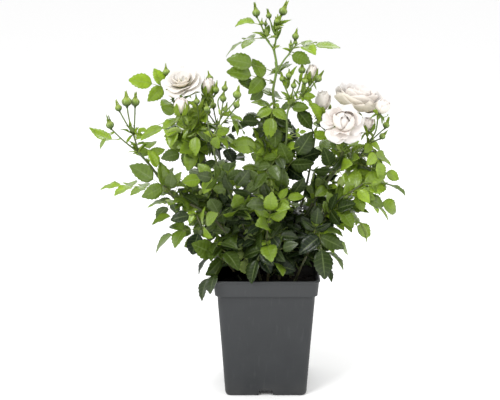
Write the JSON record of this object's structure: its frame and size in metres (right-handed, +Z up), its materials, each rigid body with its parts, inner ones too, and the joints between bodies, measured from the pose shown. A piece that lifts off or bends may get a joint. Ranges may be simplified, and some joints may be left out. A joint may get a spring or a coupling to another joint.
{
  "type": "potted rose",
  "caption": "Bushy rose with white double blooms, pointed green buds and toothed leaflets, growing in a square tapered grey nursery pot with a rim band.",
  "frame": {"origin": "centre of the flat middle pad under the pot, on the ground", "axes": "+Z up, -Y towards the camera of the picture, +X to the right in the picture"},
  "size_m": [0.5594, 0.3078, 0.7031],
  "materials": {
    "pot": "matt moulded",
    "soil": "loose dark peat",
    "leaves": "satin living green",
    "petals": "soft white to blush"
  },
  "bodies": {
    "root": {"pot": "pot", "soil": "soil", "leafy_stem_centre": "leaves", "leafy_stem_second": "leaves", "leafy_stem_left": "leaves", "leafy_stem_bloom_left": "leaves", "leafy_stem_mid_left": "leaves", "leafy_stem_bloom_right": "leaves", "leafy_stem_right": "leaves", "leafy_stem_low_left": "leaves", "leafy_stem_low_right": "leaves", "leafy_stem_low_front": "leaves", "leafy_stem_back_left": "leaves", "leafy_stem_back_right": "leaves", "leafy_stem_back_centre": "leaves", "rose_upper": "petals", "rose_front": "petals", "rose_left": "petals", "opening_rose_beside": "petals", "opening_rose_far_right": "petals", "opening_rose_right": "petals", "opening_rose_centre": "petals", "opening_rose_bud_cluster": "petals", "opening_rose_left": "petals"}
  },
  "joints": []
}
